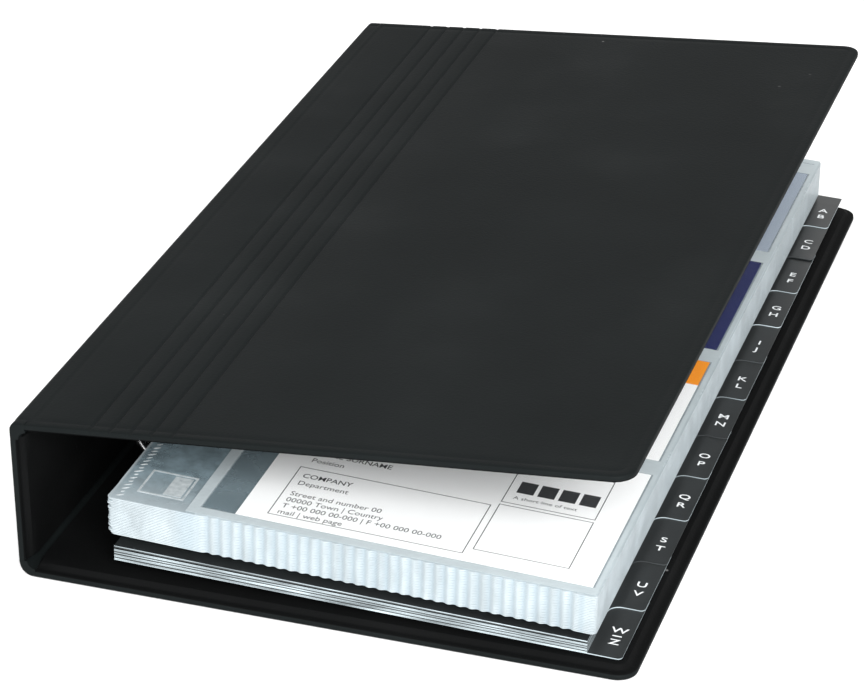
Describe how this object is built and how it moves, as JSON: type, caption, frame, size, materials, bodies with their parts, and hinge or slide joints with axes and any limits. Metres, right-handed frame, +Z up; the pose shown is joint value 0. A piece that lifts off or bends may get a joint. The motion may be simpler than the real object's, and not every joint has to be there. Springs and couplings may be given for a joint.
{
  "type": "business card ring binder",
  "caption": "Ring binder for business cards with hinged covers, a ring mechanism, clear pocket pages and stepped index sheets with letter tabs.",
  "frame": {"origin": "centre of the back cover's underside", "axes": "+X from the spine to the fore-edge, +Y along the spine to the far end, +Z up"},
  "size_m": [0.1492, 0.267, 0.0522],
  "materials": {
    "cover_vinyl": "fine-grained matt black vinyl",
    "greyboard": "grey binder board",
    "plated_sheet": "nickel-plated sheet steel",
    "rivet_steel": "plated steel",
    "ring_wire": "nickel-plated wire",
    "clear_film": "clear film",
    "pocket_plastic": "clear embossed polypropylene",
    "index_plastic": "black polypropylene",
    "card_white": "printed card",
    "card_orange": "printed card",
    "card_navy": "printed card",
    "card_grey": "printed card"
  },
  "bodies": {
    "back_cover": {"back_outer_skin": "cover_vinyl", "back_board": "greyboard", "back_liner": "cover_vinyl", "lower_hinge_web": "cover_vinyl", "mechanism_plate": "plated_sheet", "mechanism_rivets": "rivet_steel"},
    "spine": {"spine_outer_skin": "cover_vinyl", "spine_board": "greyboard", "spine_liner": "cover_vinyl"},
    "cover_web": {"upper_hinge_web": "cover_vinyl"},
    "front_cover": {"front_outer_skin": "cover_vinyl", "front_board": "greyboard", "front_liner": "cover_vinyl"},
    "rings_left": {"toggle_blade_left": "plated_sheet", "ring_halves_left": "ring_wire"},
    "rings_right": {"toggle_blade_right": "plated_sheet", "ring_halves_right": "ring_wire"},
    "pocket_page_01": {"pocket_page_01": "pocket_plastic", "pocket_film_01": "clear_film", "card_1": "card_white", "card_2": "card_orange", "card_3": "card_navy", "card_4": "card_grey"},
    "pocket_page_02": {"pocket_page_02": "pocket_plastic"},
    "pocket_page_03": {"pocket_page_03": "pocket_plastic"},
    "pocket_page_04": {"pocket_page_04": "pocket_plastic"},
    "pocket_page_05": {"pocket_page_05": "pocket_plastic"},
    "pocket_page_06": {"pocket_page_06": "pocket_plastic"},
    "pocket_page_07": {"pocket_page_07": "pocket_plastic"},
    "pocket_page_08": {"pocket_page_08": "pocket_plastic"},
    "pocket_page_09": {"pocket_page_09": "pocket_plastic"},
    "pocket_page_10": {"pocket_page_10": "pocket_plastic"},
    "pocket_page_11": {"pocket_page_11": "pocket_plastic"},
    "pocket_page_12": {"pocket_page_12": "pocket_plastic"},
    "pocket_page_13": {"pocket_page_13": "pocket_plastic"},
    "pocket_page_14": {"pocket_page_14": "pocket_plastic"},
    "pocket_page_15": {"pocket_page_15": "pocket_plastic"},
    "pocket_page_16": {"pocket_page_16": "pocket_plastic"},
    "pocket_page_17": {"pocket_page_17": "pocket_plastic"},
    "pocket_page_18": {"pocket_page_18": "pocket_plastic"},
    "pocket_page_19": {"pocket_page_19": "pocket_plastic"},
    "pocket_page_20": {"pocket_page_20": "pocket_plastic"},
    "pocket_page_21": {"pocket_page_21": "pocket_plastic"},
    "pocket_page_22": {"pocket_page_22": "pocket_plastic"},
    "pocket_page_23": {"pocket_page_23": "pocket_plastic"},
    "pocket_page_24": {"pocket_page_24": "pocket_plastic"},
    "index_sheet_01": {"index_sheet_01": "index_plastic"},
    "index_sheet_02": {"index_sheet_02": "index_plastic"},
    "index_sheet_03": {"index_sheet_03": "index_plastic"},
    "index_sheet_04": {"index_sheet_04": "index_plastic"},
    "index_sheet_05": {"index_sheet_05": "index_plastic"},
    "index_sheet_06": {"index_sheet_06": "index_plastic"},
    "index_sheet_07": {"index_sheet_07": "index_plastic"},
    "index_sheet_08": {"index_sheet_08": "index_plastic"},
    "index_sheet_09": {"index_sheet_09": "index_plastic"},
    "index_sheet_10": {"index_sheet_10": "index_plastic"},
    "index_sheet_11": {"index_sheet_11": "index_plastic"},
    "index_sheet_12": {"index_sheet_12": "index_plastic"}
  },
  "joints": [
    {"name": "cover_open", "type": "hinge", "parent": "spine", "child": "cover_web", "pos_m": [-0.07411, 0, 0.0388], "axis": [0, -1, 0], "range_deg": [0, 87.3], "deforming": ["upper_hinge_web"]},
    {"name": "spine_fold", "type": "hinge", "parent": "back_cover", "child": "spine", "pos_m": [-0.07273, 0, 0.00117], "axis": [0, -1, 0], "range_deg": [0, 87.9], "deforming": ["lower_hinge_web"]},
    {"name": "cover_close", "type": "hinge", "parent": "cover_web", "child": "front_cover", "pos_m": [-0.07131, 0, 0.03968], "axis": [0, -1, 0], "range_deg": [-4.8, 0], "stiffness_Nm_per_rad": 0.4, "springref_deg": 28.65},
    {"name": "rings_open", "type": "hinge", "parent": "back_cover", "child": "rings_left", "pos_m": [-0.0623, 0, 0.0035], "axis": [0, -1, 0], "range_deg": [0, 8.5]},
    {"name": "rings_open_right", "type": "hinge", "parent": "back_cover", "child": "rings_right", "pos_m": [-0.0425, 0, 0.0035], "axis": [0, -1, 0], "range_deg": [-8.5, 0]},
    {"name": "turn_pocket_page_01", "type": "hinge", "parent": "back_cover", "child": "pocket_page_01", "pos_m": [-0.0539, 0, 0.016], "axis": [0, -1, 0], "range_deg": [0, 175]},
    {"name": "turn_pocket_page_02", "type": "hinge", "parent": "back_cover", "child": "pocket_page_02", "pos_m": [-0.0539, 0, 0.016], "axis": [0, -1, 0], "range_deg": [0, 170.17]},
    {"name": "turn_pocket_page_03", "type": "hinge", "parent": "back_cover", "child": "pocket_page_03", "pos_m": [-0.0539, 0, 0.016], "axis": [0, -1, 0], "range_deg": [0, 165.34]},
    {"name": "turn_pocket_page_04", "type": "hinge", "parent": "back_cover", "child": "pocket_page_04", "pos_m": [-0.0539, 0, 0.016], "axis": [0, -1, 0], "range_deg": [0, 160.51]},
    {"name": "turn_pocket_page_05", "type": "hinge", "parent": "back_cover", "child": "pocket_page_05", "pos_m": [-0.0539, 0, 0.016], "axis": [0, -1, 0], "range_deg": [0, 155.69]},
    {"name": "turn_pocket_page_06", "type": "hinge", "parent": "back_cover", "child": "pocket_page_06", "pos_m": [-0.0539, 0, 0.016], "axis": [0, -1, 0], "range_deg": [0, 150.86]},
    {"name": "turn_pocket_page_07", "type": "hinge", "parent": "back_cover", "child": "pocket_page_07", "pos_m": [-0.0539, 0, 0.016], "axis": [0, -1, 0], "range_deg": [0, 146.03]},
    {"name": "turn_pocket_page_08", "type": "hinge", "parent": "back_cover", "child": "pocket_page_08", "pos_m": [-0.0539, 0, 0.016], "axis": [0, -1, 0], "range_deg": [0, 141.2]},
    {"name": "turn_pocket_page_09", "type": "hinge", "parent": "back_cover", "child": "pocket_page_09", "pos_m": [-0.0539, 0, 0.016], "axis": [0, -1, 0], "range_deg": [0, 136.37]},
    {"name": "turn_pocket_page_10", "type": "hinge", "parent": "back_cover", "child": "pocket_page_10", "pos_m": [-0.0539, 0, 0.016], "axis": [0, -1, 0], "range_deg": [0, 131.54]},
    {"name": "turn_pocket_page_11", "type": "hinge", "parent": "back_cover", "child": "pocket_page_11", "pos_m": [-0.0539, 0, 0.016], "axis": [0, -1, 0], "range_deg": [0, 126.71]},
    {"name": "turn_pocket_page_12", "type": "hinge", "parent": "back_cover", "child": "pocket_page_12", "pos_m": [-0.0539, 0, 0.016], "axis": [0, -1, 0], "range_deg": [0, 121.89]},
    {"name": "turn_pocket_page_13", "type": "hinge", "parent": "back_cover", "child": "pocket_page_13", "pos_m": [-0.0539, 0, 0.016], "axis": [0, -1, 0], "range_deg": [0, 117.06]},
    {"name": "turn_pocket_page_14", "type": "hinge", "parent": "back_cover", "child": "pocket_page_14", "pos_m": [-0.0539, 0, 0.016], "axis": [0, -1, 0], "range_deg": [0, 112.23]},
    {"name": "turn_pocket_page_15", "type": "hinge", "parent": "back_cover", "child": "pocket_page_15", "pos_m": [-0.0539, 0, 0.016], "axis": [0, -1, 0], "range_deg": [0, 107.4]},
    {"name": "turn_pocket_page_16", "type": "hinge", "parent": "back_cover", "child": "pocket_page_16", "pos_m": [-0.0539, 0, 0.016], "axis": [0, -1, 0], "range_deg": [0, 102.57]},
    {"name": "turn_pocket_page_17", "type": "hinge", "parent": "back_cover", "child": "pocket_page_17", "pos_m": [-0.0539, 0, 0.016], "axis": [0, -1, 0], "range_deg": [0, 97.74]},
    {"name": "turn_pocket_page_18", "type": "hinge", "parent": "back_cover", "child": "pocket_page_18", "pos_m": [-0.0539, 0, 0.016], "axis": [0, -1, 0], "range_deg": [0, 92.91]},
    {"name": "turn_pocket_page_19", "type": "hinge", "parent": "back_cover", "child": "pocket_page_19", "pos_m": [-0.0539, 0, 0.016], "axis": [0, -1, 0], "range_deg": [0, 88.09]},
    {"name": "turn_pocket_page_20", "type": "hinge", "parent": "back_cover", "child": "pocket_page_20", "pos_m": [-0.0539, 0, 0.016], "axis": [0, -1, 0], "range_deg": [0, 83.26]},
    {"name": "turn_pocket_page_21", "type": "hinge", "parent": "back_cover", "child": "pocket_page_21", "pos_m": [-0.0539, 0, 0.016], "axis": [0, -1, 0], "range_deg": [0, 78.43]},
    {"name": "turn_pocket_page_22", "type": "hinge", "parent": "back_cover", "child": "pocket_page_22", "pos_m": [-0.0539, 0, 0.016], "axis": [0, -1, 0], "range_deg": [0, 73.6]},
    {"name": "turn_pocket_page_23", "type": "hinge", "parent": "back_cover", "child": "pocket_page_23", "pos_m": [-0.0539, 0, 0.016], "axis": [0, -1, 0], "range_deg": [0, 68.77]},
    {"name": "turn_pocket_page_24", "type": "hinge", "parent": "back_cover", "child": "pocket_page_24", "pos_m": [-0.0539, 0, 0.016], "axis": [0, -1, 0], "range_deg": [0, 63.94]},
    {"name": "turn_index_sheet_01", "type": "hinge", "parent": "back_cover", "child": "index_sheet_01", "pos_m": [-0.0539, 0, 0.016], "axis": [0, -1, 0], "range_deg": [0, 59.11]},
    {"name": "turn_index_sheet_02", "type": "hinge", "parent": "back_cover", "child": "index_sheet_02", "pos_m": [-0.0539, 0, 0.016], "axis": [0, -1, 0], "range_deg": [0, 54.29]},
    {"name": "turn_index_sheet_03", "type": "hinge", "parent": "back_cover", "child": "index_sheet_03", "pos_m": [-0.0539, 0, 0.016], "axis": [0, -1, 0], "range_deg": [0, 49.46]},
    {"name": "turn_index_sheet_04", "type": "hinge", "parent": "back_cover", "child": "index_sheet_04", "pos_m": [-0.0539, 0, 0.016], "axis": [0, -1, 0], "range_deg": [0, 44.63]},
    {"name": "turn_index_sheet_05", "type": "hinge", "parent": "back_cover", "child": "index_sheet_05", "pos_m": [-0.0539, 0, 0.016], "axis": [0, -1, 0], "range_deg": [0, 39.8]},
    {"name": "turn_index_sheet_06", "type": "hinge", "parent": "back_cover", "child": "index_sheet_06", "pos_m": [-0.0539, 0, 0.016], "axis": [0, -1, 0], "range_deg": [0, 34.97]},
    {"name": "turn_index_sheet_07", "type": "hinge", "parent": "back_cover", "child": "index_sheet_07", "pos_m": [-0.0539, 0, 0.016], "axis": [0, -1, 0], "range_deg": [0, 30.14]},
    {"name": "turn_index_sheet_08", "type": "hinge", "parent": "back_cover", "child": "index_sheet_08", "pos_m": [-0.0539, 0, 0.016], "axis": [0, -1, 0], "range_deg": [0, 25.31]},
    {"name": "turn_index_sheet_09", "type": "hinge", "parent": "back_cover", "child": "index_sheet_09", "pos_m": [-0.0539, 0, 0.016], "axis": [0, -1, 0], "range_deg": [0, 20.49]},
    {"name": "turn_index_sheet_10", "type": "hinge", "parent": "back_cover", "child": "index_sheet_10", "pos_m": [-0.0539, 0, 0.016], "axis": [0, -1, 0], "range_deg": [0, 15.66]},
    {"name": "turn_index_sheet_11", "type": "hinge", "parent": "back_cover", "child": "index_sheet_11", "pos_m": [-0.0539, 0, 0.016], "axis": [0, -1, 0], "range_deg": [0, 10.83]},
    {"name": "turn_index_sheet_12", "type": "hinge", "parent": "back_cover", "child": "index_sheet_12", "pos_m": [-0.0539, 0, 0.016], "axis": [0, -1, 0], "range_deg": [0, 6]}
  ],
  "couplings": [
    {"joint": "spine_fold", "follows": "cover_open", "ratio": 1.0069},
    {"joint": "rings_open_right", "follows": "rings_open", "ratio": -1},
    {"joint": "turn_pocket_page_01", "follows": "cover_open", "ratio": 2.0046},
    {"joint": "turn_pocket_page_02", "follows": "cover_open", "ratio": 1.9493},
    {"joint": "turn_pocket_page_03", "follows": "cover_open", "ratio": 1.894},
    {"joint": "turn_pocket_page_04", "follows": "cover_open", "ratio": 1.8386},
    {"joint": "turn_pocket_page_05", "follows": "cover_open", "ratio": 1.7833},
    {"joint": "turn_pocket_page_06", "follows": "cover_open", "ratio": 1.728},
    {"joint": "turn_pocket_page_07", "follows": "cover_open", "ratio": 1.6727},
    {"joint": "turn_pocket_page_08", "follows": "cover_open", "ratio": 1.6174},
    {"joint": "turn_pocket_page_09", "follows": "cover_open", "ratio": 1.5621},
    {"joint": "turn_pocket_page_10", "follows": "cover_open", "ratio": 1.5068},
    {"joint": "turn_pocket_page_11", "follows": "cover_open", "ratio": 1.4515},
    {"joint": "turn_pocket_page_12", "follows": "cover_open", "ratio": 1.3962},
    {"joint": "turn_pocket_page_13", "follows": "cover_open", "ratio": 1.3409},
    {"joint": "turn_pocket_page_14", "follows": "cover_open", "ratio": 1.2855},
    {"joint": "turn_pocket_page_15", "follows": "cover_open", "ratio": 1.2302},
    {"joint": "turn_pocket_page_16", "follows": "cover_open", "ratio": 1.1749},
    {"joint": "turn_pocket_page_17", "follows": "cover_open", "ratio": 1.1196},
    {"joint": "turn_pocket_page_18", "follows": "cover_open", "ratio": 1.0643},
    {"joint": "turn_pocket_page_19", "follows": "cover_open", "ratio": 1.009},
    {"joint": "turn_pocket_page_20", "follows": "cover_open", "ratio": 0.95368},
    {"joint": "turn_pocket_page_21", "follows": "cover_open", "ratio": 0.89838},
    {"joint": "turn_pocket_page_22", "follows": "cover_open", "ratio": 0.84306},
    {"joint": "turn_pocket_page_23", "follows": "cover_open", "ratio": 0.78775},
    {"joint": "turn_pocket_page_24", "follows": "cover_open", "ratio": 0.73245},
    {"joint": "turn_index_sheet_01", "follows": "cover_open", "ratio": 0.67713},
    {"joint": "turn_index_sheet_02", "follows": "cover_open", "ratio": 0.62183},
    {"joint": "turn_index_sheet_03", "follows": "cover_open", "ratio": 0.56651},
    {"joint": "turn_index_sheet_04", "follows": "cover_open", "ratio": 0.51121},
    {"joint": "turn_index_sheet_05", "follows": "cover_open", "ratio": 0.45589},
    {"joint": "turn_index_sheet_06", "follows": "cover_open", "ratio": 0.40058},
    {"joint": "turn_index_sheet_07", "follows": "cover_open", "ratio": 0.34528},
    {"joint": "turn_index_sheet_08", "follows": "cover_open", "ratio": 0.28996},
    {"joint": "turn_index_sheet_09", "follows": "cover_open", "ratio": 0.23466},
    {"joint": "turn_index_sheet_10", "follows": "cover_open", "ratio": 0.17934},
    {"joint": "turn_index_sheet_11", "follows": "cover_open", "ratio": 0.12404},
    {"joint": "turn_index_sheet_12", "follows": "cover_open", "ratio": 0.06872}
  ]
}
